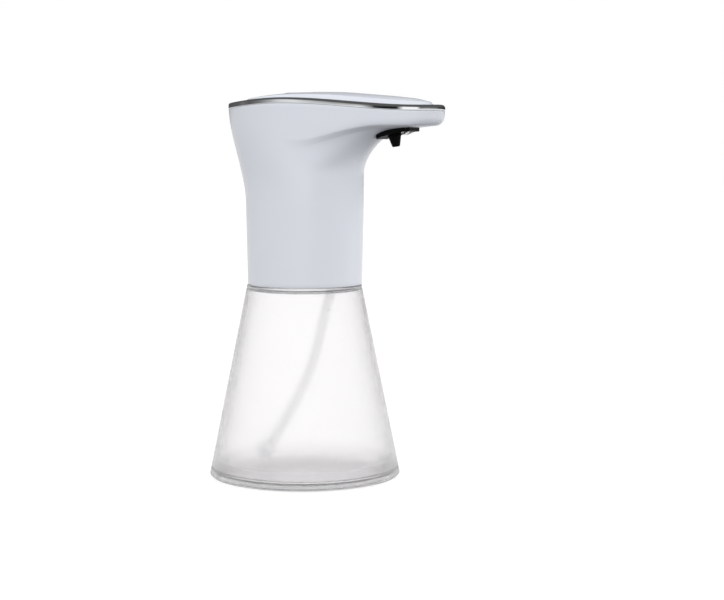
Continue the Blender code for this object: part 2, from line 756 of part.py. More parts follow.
def make_contacts(head):
    """A small cone spring at each cell's flat end, and a strip across each pair's top."""
    top = CELL_BOTTOM + CELL_H + CELL_NUB_H
    for k, (x, y) in enumerate(cell_spots()):
        start = top + 0.5 if k % 2 else CELL_BOTTOM - 0.5
        way = 1 if k % 2 else -1
        path = []
        for n in range(19):
            angle = 2 * pi * n / 8
            radius = 2.0 + 1.6 * n / 18
            path.append((x + radius * cos(angle), y + radius * sin(angle), start + way * n * 0.04))
        tube(f"contact_spring_{k + 1}", path, 0.22, "steel", head, 0)
    z = CASE_Z[1] - CASE_WALL - 0.65
    for k, x in enumerate((PACK_X - CELL_PITCH / 2, PACK_X + CELL_PITCH / 2)):
        strip = block((x - 4, x + 4), (-9.5, 9.5), (z, z + 0.35))
        add_at_world(f"contact_strip_{k + 1}", strip, "steel", head)


# ---------------------------------------------------------------- pump and motor

def gear_outline():
    """Involute teeth, with the first tooth's middle at angle zero."""
    module = GEAR_SPACING / TEETH
    pitch_r = GEAR_SPACING / 2
    base_r = pitch_r * cos(PRESSURE_ANGLE)
    half_tooth = (pi * module / 2 - BACKLASH) / (2 * pitch_r)
    at_pitch = involute(pitch_r / base_r)
    outer, root = pitch_r + ADDENDUM, pitch_r - DEDENDUM
    flank = []
    for k in range(4):
        r = base_r + (outer - base_r) * k / 3
        flank.append((r, half_tooth + at_pitch - involute(r / base_r)))
    flank = [(root, flank[0][1]), *flank]
    outline = []
    for tooth in range(TEETH):
        middle = 2 * pi * tooth / TEETH
        outline += [(r * cos(middle - a), r * sin(middle - a)) for r, a in flank]
        outline += [(r * cos(middle + a), r * sin(middle + a)) for r, a in reversed(flank)]
    return outline


def involute(ratio):
    """Polar angle of an involute where its radius is this many base radii."""
    lean = sqrt(max(ratio ** 2 - 1, 0.0))
    return lean - atan(lean)


def make_gear(name, parent, phase):
    base = parent["at"]
    heights = (GEAR_Z[0] - base[2], GEAR_Z[1] - base[2])
    bm = plate(gear_outline(), (circle(0, 0, SHAFT_R + GAP, 12),), heights)
    moved(bm, (0, 0, 0), Matrix.Rotation(phase, 3, "Z"))
    add(name, bm, "pale_gear", base, parent)


def pump_outline():
    """A rounded housing round both gears, with an ear for each screw."""
    points = []
    for side in (1, -1):
        y = side * GEAR_SPACING / 2
        for k in range(11):
            angle = (0 if side > 0 else pi) + pi * k / 10
            points.append((PUMP_X + 7.0 * cos(angle), y + 7.0 * sin(angle)))
    return points


def add_ears(obj, heights):
    for side in (-1, 1):
        spot = (PUMP_X + EAR[0], side * EAR[1], 0)
        join(obj, moved(cylinder(2.2, *heights, 16), spot))
        cut(obj, moved(cylinder(SHAFT_R + 0.2, heights[0] - 1, heights[1] + 1, 12), spot))


def make_pump(head):
    body = add_at_world("pump_body", plate(pump_outline(), (), PUMP_Z), "grey_plastic", head)
    floor, top = GEAR_Z[0] - GAP, PUMP_Z[1] + 1
    for side in (-1, 1):
        chamber = cylinder(5.05 + GAP, floor, top, 32)
        cut(body, moved(chamber, (PUMP_X, side * GEAR_SPACING / 2, 0)))
    cut(body, moved(cylinder(1.6, PUMP_Z[0] - 1, top, 16), (PUMP_X + PORT_OFFSET, 0, 0)))
    cut(body, moved(cylinder(1.6, floor, top, 16), (PUMP_X - PORT_OFFSET, 0, 0)))
    add_ears(body, PUMP_Z)
    make_pump_cover(head)
    pin = cylinder(SHAFT_R, GEAR_Z[0], PUMP_Z[1], 12)
    spot = (PUMP_X, -GEAR_SPACING / 2, 0)
    add("idler_pin", pin, "steel", spot, head)


def make_pump_cover(head):
    """Lid of the pump, with a channel to the outlet spigot beside the motor."""
    cover = add_at_world("pump_cover", plate(pump_outline(), (), COVER_Z), "grey_plastic", head)
    low, high = COVER_Z
    x, y = PUMP_X - PORT_OFFSET, -9.3
    join(cover, moved(cylinder(1.8, high - 0.5, high + 5, 16), (x, y, 0)))
    cut(cover, block((x - 1.1, x + 1.1), (y, 1.2), (low - 1, low + 1.6)))
    cut(cover, moved(cylinder(1.0, low - 1, high + 6, 12), (x, y, 0)))
    shaft_hole = cylinder(SHAFT_R + GAP, low - 1, high + 1, 12)
    cut(cover, moved(shaft_hole, (PUMP_X, MOTOR_Y, 0)))
    add_ears(cover, COVER_Z)
    for k, side in enumerate((-1, 1)):
        spot = (PUMP_X + EAR[0], side * EAR[1], PLATE_Z[0] + 0.2)
        make_screw(f"pump_screw_{k + 1}", spot, COVER_Z[1] - PLATE_Z[0] - 1.0, head)


def make_motor(head, rotor):
    """Can with two flats, end bell with terminals, and the turning armature and shaft."""
    spot = (PUMP_X, MOTOR_Y, 0)
    low, high = CAN_Z
    hole = SHAFT_R + GAP
    seal = ring(hole, 3.0, COVER_Z[1] + GAP, low - GAP, 16)
    add("shaft_seal", seal, "rubber", spot, head)
    shape = flatted_circle(MOTOR_R, MOTOR_FLAT)
    can = add("motor_can", plate(shape, (), CAN_Z), "steel", spot, head)
    inside = flatted_circle(MOTOR_R - MOTOR_WALL, MOTOR_FLAT - MOTOR_WALL)
    cut(can, moved(plate(inside, (), (low + MOTOR_WALL, high + 1)), spot))
    cut(can, moved(cylinder(hole, low - 1, low + 2, 12), spot))
    shape = flatted_circle(MOTOR_R - 0.6, MOTOR_FLAT - 0.3)
    bearing = circle(0, 0, hole, 12)
    bell = plate(shape, (bearing,), (high + GAP, high + 2.4))
    bell_obj = add("motor_end_bell", bell, "white_plastic", spot, head)
    join(bell_obj, moved(ring(hole, 4.0, high + 2.0, high + 3.6, 12), spot))
    for side in (-1, 1):
        x = PUMP_X + side * 6.5
        tab = block((x - 0.3, x + 0.3), (MOTOR_Y - 1.2, MOTOR_Y + 1.2), (high + 2, high + 6))
        join(bell_obj, tab)
    base = rotor["at"][2]
    shaft = cylinder(SHAFT_R, GEAR_Z[0] + 0.2 - base, high + 3.0 - base, 12)
    add("motor_shaft", shaft, "steel", rotor["at"], rotor)
    armature = ring(hole, 6.1, low + 3.5 - base, high - 4.5 - base, 20)
    add("motor_armature", armature, "copper", rotor["at"], rotor)
    make_gear("drive_gear", rotor, -pi / 2)


# ---------------------------------------------------------------- outlet and sensor

def nozzle_turn():
    return Matrix.Rotation(-NOZZLE_TILT, 3, "Y")


def make_bezel(head):
    """Curved plate round the nozzle, with a hole for the sensor's lens."""
    x0, x1 = BEZEL_X
    spots = [x0 + (x1 - x0) * k / 12 for k in range(13)]
    profile = [(x, bezel_z(x)) for x in spots]
    profile += [(x, bezel_z(x) + BEZEL_DEEP) for x in reversed(spots)]
    sides = (-BEZEL_HALF, BEZEL_HALF)
    bezel = add_at_world("sensor_bezel", side_prism(profile, sides), "black_plastic", head)
    outline = rounded(BEZEL_X, BEZEL_HALF, BEZEL_CORNER)
    boolean(bezel, plate(outline, (), (155, 185)), "INTERSECT")
    cut(bezel, moved(cylinder(NOZZLE_BASE_R + GAP, -6, 12, 20), nozzle_at(), nozzle_turn()))
    cut(bezel, plate(rounded(LENS_X, LENS_HALF, 1.2, GAP), (), (155, 185)))


def make_sensor(head):
    """Pale lens in front of the nozzle, with its two diodes and their board above it."""
    top = [(x, y, LENS_TOP) for x, y in rounded(LENS_X, LENS_HALF, 1.2)]
    slope = (LENS_Z[1] - LENS_Z[0]) / (LENS_X[1] - LENS_X[0])
    rings = [[(x, y, LENS_Z[0] + rise + slope * (x - LENS_X[0]))
              for x, y in rounded(LENS_X, LENS_HALF, 1.2, -shrink)]
             for rise, shrink in ((0.0, 0.9), (0.15, 0.45), (0.5, 0.1), (0.9, 0.0))]
    add_at_world("ir_window", skin([*rings, top]), "frosted_plastic", head)
    board = block((53, 65), (-6, 6), SENSOR_BOARD_Z)
    add_at_world("sensor_board", board, "board", head)
    for name, y in (("ir_emitter", 2.4), ("ir_receiver", -2.4)):
        profile = ((0, 0), (0.9, 0.2), (1.4, 0.9), (1.4, 3.4), (0, 3.4))
        add(name, turned(profile, 12), "smoked_lens", (SENSOR_X, y, LENS_TOP + GAP), head)


def nozzle_at():
    return (NOZZLE_X, 0.0, bezel_z(NOZZLE_X))


def make_nozzle(head):
    """Tapered spout tip with a wider seat for its valve, along a tilted axis."""
    profile = ((1.0, -NOZZLE_DROP), (NOZZLE_TIP_R - 0.3, -NOZZLE_DROP),
               (NOZZLE_TIP_R, 0.35 - NOZZLE_DROP), (NOZZLE_BASE_R - 0.2, -1.3),
               (NOZZLE_BASE_R, -0.9), (NOZZLE_BASE_R, 6.6), (2.0, 6.6), (2.0, 1.6), (1.0, 1.6))
    nozzle = moved(turned(profile, 24), (0, 0, 0), nozzle_turn())
    add("nozzle", nozzle, "black_plastic", nozzle_at(), head)
    duck = ((0.4, 2.0), (0.9, 2.0), (1.7, 4.6), (1.7, 6.2), (1.2, 6.2), (1.2, 4.6))
    valve = moved(turned(duck, 12), (0, 0, 0), nozzle_turn())
    add("outlet_valve", valve, "rubber", nozzle_at(), head)


def make_outlet_hose(head):
    x, y = PUMP_X - PORT_OFFSET, -9.3
    end = Vector(nozzle_at()) + nozzle_turn() @ Vector((0, 0, 7.0))
    route = [(x, y, COVER_Z[1] + 5.4), (x - 0.4, y - 2.2, 138), (x + 1, y - 3, 152),
             (x + 5, y - 2.5, 164), (x + 14, y + 1.5, 172.5), (x + 24, y + 5.5, 178.5),
             (x + 32, y + 8.5, 181.0), tuple(end + nozzle_turn() @ Vector((0, 0, 3.0))), tuple(end)]
    tube("outlet_hose", smooth_path(route, 6.0), 2.2, "clear_silicone", head, 1)


# ---------------------------------------------------------------- wiring and screws

def make_wiring(head):
    board = BOARD_Z[0] - 0.6
    tabs = CAN_Z[1] + 6.6
    case = CASE_Z[1] + 0.6
    leads = {
        "motor_lead_red": ((PUMP_X + 6.5, 4.5, tabs), (PUMP_X + 7, 5, 160), (17, 10, 170),
                           (16, 13, board)),
        "motor_lead_black": ((PUMP_X - 6.5, 4.5, tabs), (PUMP_X - 6, 6, 160), (8, 11, 170),
                             (8, 14, board)),
        "battery_lead_red": ((-14, 5, case), (-15, 7, 163), (-13, 10, 171), (-12, 12, board)),
        "battery_lead_black": ((-4, -5, case), (-5, -6, 163), (-7, -9, 171), (-7, -12, board)),
        "sensor_cable": ((24.9, 0, 177.4), (31, 4.5, 177), (42, 8.5, 178.5), (51, 7.8, 180),
                         (54, 4, 180.3)),
    }
    for name, route in leads.items():
        colour = "red_wire" if name.endswith("red") else "black_wire"
        tube(name, smooth_path(route, 6.0), 0.6, colour, head, 0)


def make_bulkhead_screws(head):
    for k, side in enumerate((-1, 1)):
        spot = (0.0, side * 22.3, PLATE_Z[0] + 0.2)
        make_screw(f"bulkhead_screw_{k + 1}", spot, 11.0, head)


def build():
    clear_scene()
    seal = empty("seal_axis", (0, 0, SHOULDER_Z + GAP))
    head = empty("head_axis", (0, 0, HEAD_BOTTOM), seal)
    button = empty("button_axis", (0, 0, BUTTON_TOP), head)
    rotor = empty("rotor_axis", (PUMP_X, MOTOR_Y, GEAR_Z[0]), head)
    idler = empty("idler_axis", (PUMP_X, -GEAR_SPACING / 2, GEAR_Z[0]), head)
    make_foot_pad()
    make_bottle_base()
    make_bottle_shell()
    make_seal_ring(seal)
    make_bulkhead(head)
    make_inlet_barb(head)
    make_dip_tube(head)
    make_head_shell(head)
    make_chrome_trim(head)
    make_top_cover(head)
    make_button(button)
    make_light_ring(head)
    make_boards(head)
    make_battery_case(head)
    make_battery_cover(head)
    make_cells(head)
    make_contacts(head)
    make_pump(head)
    make_motor(head, rotor)
    make_gear("idler_gear", idler, pi / 2 + pi / TEETH)
    make_bezel(head)
    make_sensor(head)
    make_nozzle(head)
    make_outlet_hose(head)
    make_wiring(head)
    make_bulkhead_screws(head)


build()
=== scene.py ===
"""Looks of a countertop automatic soap dispenser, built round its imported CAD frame.

Shapes are made in millimetres, and become metres when a mesh is made. +X is the way the
spout points, +Z is up, and the origin is the centre of the resting face.
"""

import json
from math import atan, cos, pi, radians, sin, sqrt, tan

import bmesh
import bpy
import numpy as np
from mathutils import Matrix, Vector


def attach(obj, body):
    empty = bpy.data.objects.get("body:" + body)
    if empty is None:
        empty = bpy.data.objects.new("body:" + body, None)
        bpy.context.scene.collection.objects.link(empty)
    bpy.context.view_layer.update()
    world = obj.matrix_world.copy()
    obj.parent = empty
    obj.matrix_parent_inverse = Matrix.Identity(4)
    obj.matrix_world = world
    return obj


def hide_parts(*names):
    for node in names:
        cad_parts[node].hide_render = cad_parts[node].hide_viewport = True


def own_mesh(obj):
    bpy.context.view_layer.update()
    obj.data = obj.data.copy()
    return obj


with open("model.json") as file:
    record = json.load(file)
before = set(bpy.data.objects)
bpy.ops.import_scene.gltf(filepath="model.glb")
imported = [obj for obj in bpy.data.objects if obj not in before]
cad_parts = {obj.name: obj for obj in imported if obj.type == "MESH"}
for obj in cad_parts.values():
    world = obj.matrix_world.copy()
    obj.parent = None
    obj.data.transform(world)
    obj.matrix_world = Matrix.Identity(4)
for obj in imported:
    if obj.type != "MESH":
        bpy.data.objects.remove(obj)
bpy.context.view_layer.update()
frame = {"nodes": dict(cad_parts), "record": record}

MM = 0.001
GAP = 0.3
ROUND = 144
FINE_ROUND = 192

# Camera, in millimetres and degrees
CAMERA_AT = (329.2, -739.4, 164.4)
CAMERA_YAW = 21.956
CAMERA_PITCH = 5.39
CAMERA_LENS = 80.4

# Bottle
BASE_R = 48.09
CONE_SLOPE = 0.2025
WALL = 2.0
PAD_R = 42.0
RIM_BOTTOM = 0.4
RIM_R = 47.9
FLOOR_UNDER = 1.9
FLOOR_TOP = 4.2
SPIGOT_H = 4.6
SHOULDER_Z = 94.3
SHOULDER_WALL = 0.8
NECK_OUTER = 23.1
NECK_INNER = 21.6
NECK_TOP = 102.5
SEAL_R = 28.75
LUG_REACH = 1.3
LUG_HALF = 14.0
LUG_ANGLES = (60.0, 180.0, 300.0)
LUG_Z = (99.5, 101.5)

# Head outline: a circle round the neck and a circle at the spout's tip, blended
HEAD_BOTTOM = 96.3
NECK_R = 28.23
SIDE_DRAFT = 0.020
FRONT_DRAFT = 0.030
FLARE_START = 136.0
FLARE_END = 186.0
TOP_R = 31.0
BACK_SHIFT = 7.1
THROAT_Z = 150.0
THROAT_TOP = (58.0, 173.6)
SPOUT_SLOPE = 0.10
TIP_X = 73.37
TIP_DRAFT = 0.094
TIP_TOP_Z = 183.0
TIP_R = 15.0
NECK_NOSE_R = 26.0
SPOUT_START = 30.0
LIP_R = 4.5
TOP_INSET = 1.5
TOP_INSET_H = 2.5
BLEND = 1.0
DENSE = 1440
RING = 224
EVEN_TOP_Z = 178.8
SAG = 11.0

# Top edge of the head: the height of the arch at its back end, its peak and its front end
ARCH_BACK = (-45.0, 186.3)
ARCH_BACK_SLOPE = -0.064
ARCH_PEAK = (1.7, 188.4)
ARCH_FRONT = (78.0, 185.25)
ARCH_FRONT_SLOPE = 0.09
TRIM_H = 2.7
TRIM_WALL = 1.5
RIM_GAP = 0.05
FOOT_GAP = 0.22
ROOF_DROP = 2.2
LEDGE_TIP = 6.0
LEDGE_BACK = 9.0
CROWN_EDGE = 2.2
CROWN = 1.5
LID_WALL = 2.0

# Outlet and sensor
BEZEL_X = (41.3, 58.6)
BEZEL_HALF = 9.0
BEZEL_CORNER = 2.6
BEZEL_AXES = (29.4, 22.1)
BEZEL_DEEP = 4.5
LENS_X = (52.9, 56.8)
LENS_HALF = 4.2
LENS_CORNER = 1.2
LENS_Z = (170.1, 171.7)
LENS_TOP = 173.2
NOZZLE_X = 48.14
NOZZLE_TILT = radians(9)
NOZZLE_TIP_R = 1.95
NOZZLE_BASE_R = 3.3
NOZZLE_DROP = 6.1
NOZZLE_RIBS = 12

# Button
BUTTON_R = 9.0
BUTTON_TOP = 191.4

# Dip tube
TUBE_R = 2.25
TUBE_BORE = 1.55
TUBE_ROUTE = ((15.2, 96.1), (14.9, 94.6), (13.8, 91.7), (9.9, 77.2), (6.1, 62.5), (0.3, 47.7),
              (-7.7, 33.3), (-15.8, 20.2), (-19.4, 15.4))
TUBE_STEP = 1.5
STRAINER_DIRECTION = Vector((-0.6, 0.0, -0.8))
STRAINER_R = 3.7
STRAINER_H = 7.2

# Studio. The cards go round the room as (turn, brightness): a turn of 0.5 is +X, 0.25 is
# -Y and 0.75 is +Y. The other ramps go by height: 0 is straight down, 0.5 level and 1 up.
CARDS = ((0.0, 0.10), (0.04, 0.16), (0.09, 0.10), (0.15, 0.18), (0.22, 0.45), (0.258, 0.80),
         (0.2655, 1.0), (0.2722, 1.0), (0.2734, 0.01), (0.2815, 0.01), (0.2830, 1.0),
         (0.333, 1.0), (0.372, 0.16), (0.45, 0.22), (0.56, 0.16), (0.60, 0.03), (0.76, 0.03),
         (0.85, 0.08), (1.0, 0.10))
CEILING = 0.10
GROUND = ((0.20, 0.12), (0.36, 0.85), (0.48, 0.95))
GLOW = ((0.0, 0.12), (0.42, 0.23), (0.51, 1.46), (0.70, 1.22), (1.0, 0.92))
SKY = ((0.56, 0.0), (0.66, 1.0))
HORIZON = ((0.480, 1.0), (0.497, 0.0))
PAPER = 0.20
PAPER_GLOW = 0.84
FRONT_BOX = ((0.35, -1.1, 0.30), (0.0, 0.0, 0.12), 0.6, 2.4)
THROAT_BOX = ((0.15, 0.09, 0.09), (0.050, 0.0, 0.165), 0.05, 0.06)


# ---------------------------------------------------------------- camera

def make_camera():
    """The one camera, to the side of the dispenser and level with its head."""
    data = bpy.data.cameras.new("camera")
    data.lens = CAMERA_LENS
    data.sensor_width = 36.0
    data.clip_start, data.clip_end = 0.01, 20.0
    camera = bpy.data.objects.new("camera", data)
    bpy.context.scene.collection.objects.link(camera)
    camera.location = Vector(CAMERA_AT) * MM
    camera.rotation_euler = (radians(90 - CAMERA_PITCH), 0.0, radians(CAMERA_YAW))
    bpy.context.scene.camera = camera


# ---------------------------------------------------------------- materials

def shader_material(name, colour, roughness, metallic=0.0, **sockets):
    """A Principled material, with its node tree's shader."""
    made = bpy.data.materials.new(name)
    made.use_nodes = True
    shader = made.node_tree.nodes["Principled BSDF"]
    shader.inputs["Base Color"].default_value = (*colour, 1.0)
    shader.inputs["Roughness"].default_value = roughness
    shader.inputs["Metallic"].default_value = metallic
    for socket, value in sockets.items():
        shader.inputs[socket.replace("_", " ")].default_value = value
    return made, shader


def noise(tree, scale, detail=3.0, stretch=(1.0, 1.0, 1.0)):
    """Noise over the piece's own coordinates, whose features are about 1 / scale metres."""
    nodes, links = tree.nodes, tree.links
    where = nodes.new("ShaderNodeTexCoord")
    mapping = nodes.new("ShaderNodeMapping")
    mapping.inputs["Scale"].default_value = stretch
    texture = nodes.new("ShaderNodeTexNoise")
    texture.inputs["Scale"].default_value = scale
    texture.inputs["Detail"].default_value = detail
    links.new(where.outputs["Object"], mapping.inputs["Vector"])
    links.new(mapping.outputs["Vector"], texture.inputs["Vector"])
    return texture.outputs["Fac"]


def spread(tree, source, low, high):
    """The noise's middle range carried to the range between two values."""
    node = tree.nodes.new("ShaderNodeMapRange")
    node.clamp = False
    node.inputs["From Min"].default_value = 0.15
    node.inputs["From Max"].default_value = 0.85
    node.inputs["To Min"].default_value = low
    node.inputs["To Max"].default_value = high
    tree.links.new(source, node.inputs["Value"])
    return node.outputs["Result"]


def surface(name, colour, roughness, metallic=0.0, shift=0.03, wear=0.05, grain=900.0,
            relief=0.01, stretch=(1.0, 1.0, 1.0), **sockets):
    """A finished surface: a slight drift in colour, uneven gloss and a fine grain.

    shift is the share that the colour drifts by, wear the amount that roughness does, and
    relief the height of the grain in millimetres.
    """
    made, shader = shader_material(name, colour, roughness, metallic, **sockets)
    tree = made.node_tree
    drift = tree.nodes.new("ShaderNodeMix")
    drift.data_type = "RGBA"
    drift.inputs["A"].default_value = (*[c * (1 - shift) for c in colour], 1.0)
    drift.inputs["B"].default_value = (*[min(1.0, c * (1 + shift)) for c in colour], 1.0)
    tree.links.new(spread(tree, noise(tree, 45.0), 0.0, 1.0), drift.inputs["Factor"])
    tree.links.new(drift.outputs["Result"], shader.inputs["Base Color"])
    uneven = spread(tree, noise(tree, 160.0, 5.0, stretch), max(0.01, roughness - wear),
                    roughness + wear)
    tree.links.new(uneven, shader.inputs["Roughness"])
    bump = tree.nodes.new("ShaderNodeBump")
    bump.inputs["Distance"].default_value = relief * MM
    bump.inputs["Strength"].default_value = 0.6
    tree.links.new(noise(tree, grain, 2.0, stretch), bump.inputs["Height"])
    tree.links.new(bump.outputs["Normal"], shader.inputs["Normal"])
    return made


def board_material():
    """Solder mask over copper tracks, which run at right angles."""
    made, shader = shader_material("board", (0.02, 0.16, 0.07), 0.32)
    tree = made.node_tree
    where = tree.nodes.new("ShaderNodeTexCoord")
    tracks = tree.nodes.new("ShaderNodeTexBrick")
    tracks.inputs["Scale"].default_value = 300.0
    tracks.inputs["Mortar Size"].default_value = 0.03
    tracks.inputs["Color1"].default_value = (0.015, 0.14, 0.06, 1.0)
    tracks.inputs["Color2"].default_value = (0.025, 0.19, 0.08, 1.0)
    tracks.inputs["Mortar"].default_value = (0.05, 0.30, 0.12, 1.0)
    tree.links.new(where.outputs["Object"], tracks.inputs["Vector"])
    tree.links.new(tracks.outputs["Color"], shader.inputs["Base Color"])
    tree.links.new(spread(tree, noise(tree, 200.0), 0.25, 0.42), shader.inputs["Roughness"])
    bump = tree.nodes.new("ShaderNodeBump")
    bump.inputs["Distance"].default_value = 0.03 * MM
    tree.links.new(tracks.outputs["Fac"], bump.inputs["Height"])
    tree.links.new(bump.outputs["Normal"], shader.inputs["Normal"])
    return made


def make_materials():
    """One finished material for each of the record's slots."""
    brushed = (1.0, 1.0, 0.08)
    return {
        "white_abs": surface("white_abs", (0.70, 0.725, 0.785), 0.24, shift=0.012, wear=0.04,
                             grain=700.0, relief=0.004),
        "chrome": surface("chrome", (0.90, 0.91, 0.93), 0.025, 1.0, shift=0.01, wear=0.005,
                          grain=500.0, relief=0.0004),
        "frosted": surface("frosted", (0.997, 0.990, 0.994), 0.255, shift=0.003, wear=0.02,
                           grain=1500.0, relief=0.003, Transmission_Weight=0.98, IOR=1.32),
        "clear_silicone": surface("clear_silicone", (0.965, 0.965, 0.965), 0.30, shift=0.01,
                                  grain=1200.0, relief=0.004, Transmission_Weight=0.93,
                                  IOR=1.15),
        "black_plastic": surface("black_plastic", (0.004, 0.004, 0.0045), 0.40, shift=0.15,
                                 wear=0.08, grain=1800.0, relief=0.012,
                                 Specular_IOR_Level=0.04),
        "smoked_lens": surface("smoked_lens", (0.02, 0.008, 0.014), 0.10, shift=0.10,
                               wear=0.03, relief=0.002, Coat_Weight=0.6),
        "grey_plastic": surface("grey_plastic", (0.96, 0.965, 0.97), 0.46, wear=0.08,
                                relief=0.02, Transmission_Weight=0.92, IOR=1.08),
        "pale_gear": surface("pale_gear", (0.76, 0.73, 0.64), 0.42, wear=0.07, relief=0.01),
        "steel": surface("steel", (0.58, 0.58, 0.60), 0.28, 1.0, wear=0.10, grain=1500.0,
                         relief=0.008, stretch=brushed),
        "copper": surface("copper", (0.72, 0.37, 0.19), 0.32, 1.0, shift=0.08, wear=0.10,
                          grain=3000.0, relief=0.05, stretch=(0.1, 0.1, 1.0)),
        "board": board_material(),
        "cell_jacket": surface("cell_jacket", (0.09, 0.28, 0.15), 0.34, shift=0.06,
                               wear=0.08, relief=0.006),
        "red_wire": surface("red_wire", (0.52, 0.03, 0.03), 0.45, shift=0.06, relief=0.02),
        "black_wire": surface("black_wire", (0.02, 0.02, 0.02), 0.45, shift=0.10,
                              relief=0.02),
        "rubber": surface("rubber", (0.97, 0.97, 0.98), 0.36, shift=0.02, wear=0.06,
                          grain=2500.0, relief=0.02, Transmission_Weight=0.97, IOR=1.15),
    }


# ---------------------------------------------------------------- mesh helpers

def object_of(name, bm, sharp=35.0):
    """An object from a bmesh that is in metres in the shared frame."""
    bmesh.ops.recalc_face_normals(bm, faces=bm.faces)
    mesh = bpy.data.meshes.new(name)
    bm.to_mesh(mesh)
    bm.free()
    mesh.shade_smooth()
    mesh.set_sharp_from_angle(angle=radians(sharp))
    obj = bpy.data.objects.new(name, mesh)
    bpy.context.scene.collection.objects.link(obj)
    return obj


def piece(obj, body, slot, *nodes):
    """Gives the object its finish and body, and hides the CAD nodes that it stands for."""
    obj.data.materials.clear()
    obj.data.materials.append(MATERIALS[slot])
    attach(obj, body)
    if nodes:
        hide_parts(*nodes)
    return obj


def moved(bm, at, turn=None):
    """The bmesh turned and then carried to a point in millimetres."""
    matrix = Matrix.Translation(Vector(at) * MM)
    if turn:
        matrix = matrix @ turn.to_4x4()
    bmesh.ops.transform(bm, matrix=matrix, verts=bm.verts)
    return bm


def skin(rings, loop=False):
    """A surface through rings of points, closed by end faces or back onto the first ring."""
    bm = bmesh.new()
    rows = [[bm.verts.new([c * MM for c in p]) for p in points] for points in rings]
    count = len(rows[0])
    pairs = list(zip(rows, rows[1:]))
    if loop:
        pairs.append((rows[-1], rows[0]))
    for low, high in pairs:
        for k in range(count):
            n = (k + 1) % count
            bm.faces.new((low[k], low[n], high[n], high[k]))
    if not loop:
        bm.faces.new(rows[0][::-1])
        bm.faces.new(rows[-1])
    return bm


def softened(profile, radius, steps=5):
    """The closed profile with each of its corners rounded, as far as its sides allow."""
    points = [Vector(p) for p in profile]
    out = []
    for before, corner, after in zip(points[-1:] + points[:-1], points, points[1:] + points[:1]):
        back, on = before - corner, after - corner
        if corner.x < 1e-6 or back.angle(on) > radians(170):
            out.append(corner)
            continue
        half = back.angle(on) / 2
        reach = min(radius / tan(half), back.length * 0.45, on.length * 0.45)
        start, end = corner + back.normalized() * reach, corner + on.normalized() * reach
        for k in range(steps + 1):
            t = k / steps
            out.append(start * (1 - t) ** 2 + corner * (2 * t * (1 - t)) + end * t ** 2)
    return out


def turned(profile, steps=ROUND):
    """A solid of revolution round Z from (radius, height) points."""
    bm = bmesh.new()
    points = [bm.verts.new((r * MM, 0.0, z * MM)) for r, z in profile]
    edges = [bm.edges.new(pair) for pair in zip(points, points[1:])]
    if profile[0][0] > 1e-6 or profile[-1][0] > 1e-6:
        edges.append(bm.edges.new((points[-1], points[0])))
    bmesh.ops.spin(bm, geom=points + edges, cent=(0, 0, 0), axis=(0, 0, 1),
                   angle=2 * pi, steps=steps, use_merge=True)
    bmesh.ops.remove_doubles(bm, verts=bm.verts, dist=1e-7)
    return bm


def cylinder(radius, z0, z1, steps=48):
    """An upright cylinder round Z."""
    return turned(((0, z0), (radius, z0), (radius, z1), (0, z1)), steps)


def block(x, y, z):
    """A cutter between two x, two y and two z."""
    bm = bmesh.new()
    bmesh.ops.create_cube(bm, size=1.0)
    size = Vector((x[1] - x[0], y[1] - y[0], z[1] - z[0])) * MM
    centre = Vector((x[0] + x[1], y[0] + y[1], z[0] + z[1])) * (MM / 2)
    bmesh.ops.scale(bm, vec=size, verts=bm.verts)
    bmesh.ops.translate(bm, vec=centre, verts=bm.verts)
    return bm


def prism(outline, z):
    """The outline carried up from one height to another."""
    return skin([[(x, y, height) for x, y in outline] for height in z])


def combine(obj, bm, operation, sharp=35.0):
    """Cuts or joins a helper to the object, and keeps the result as its mesh."""
    helper = object_of(obj.name + "_helper", bm)
    modifier = obj.modifiers.new(operation.lower(), "BOOLEAN")
    modifier.operation = operation
    modifier.solver = "EXACT"
    modifier.object = helper
    bpy.context.view_layer.update()
    graph = bpy.context.evaluated_depsgraph_get()
    made = bpy.data.meshes.new_from_object(obj.evaluated_get(graph))
    obj.modifiers.clear()
    old, obj.data = obj.data, made
    bpy.data.meshes.remove(old)
    bpy.data.objects.remove(helper)
    made.shade_smooth()
    made.set_sharp_from_angle(angle=radians(sharp))


def arc_block(r, z, middle, half, steps=10):
    """A block between two radii, spanning an angle either side of its middle."""
    angles = [radians(middle - half + 2 * half * k / steps) for k in range(steps + 1)]
    outline = [(r[1] * cos(a), r[1] * sin(a)) for a in angles]
    outline += [(r[0] * cos(a), r[0] * sin(a)) for a in reversed(angles)]
    return prism(outline, z)


def rounded(x, half, corner, grow=0.0, steps=10):
    """A rectangle between two x and symmetric in y, with round corners, grown by an amount."""
    x0, x1, half = x[0] - grow, x[1] + grow, half + grow
    radius = corner + grow
    centres = ((x1 - radius, half - radius, 0), (x0 + radius, half - radius, 90),
               (x0 + radius, radius - half, 180), (x1 - radius, radius - half, 270))
    outline = []
    for cx, cy, start in centres:
        for k in range(steps + 1):
            angle = radians(start + 90 * k / steps)
            outline.append((cx + radius * cos(angle), cy + radius * sin(angle)))
    return outline


def smooth_path(route, step):
    """Points about a step apart on a Catmull-Rom curve through the route."""
    points = [Vector(p) for p in route]
    padded = [2 * points[0] - points[1], *points, 2 * points[-1] - points[-2]]
    path = [points[0]]
    for a, b, c, d in zip(padded, padded[1:], padded[2:], padded[3:]):
        count = max(1, round((c - b).length / step))
        for k in range(1, count + 1):
            t = k / count
            path.append((2 * b + (c - a) * t + (2 * a - 5 * b + 4 * c - d) * t ** 2
                         + (3 * b - a - 3 * c + d) * t ** 3) / 2)
    return path


# ---------------------------------------------------------------- dip tube

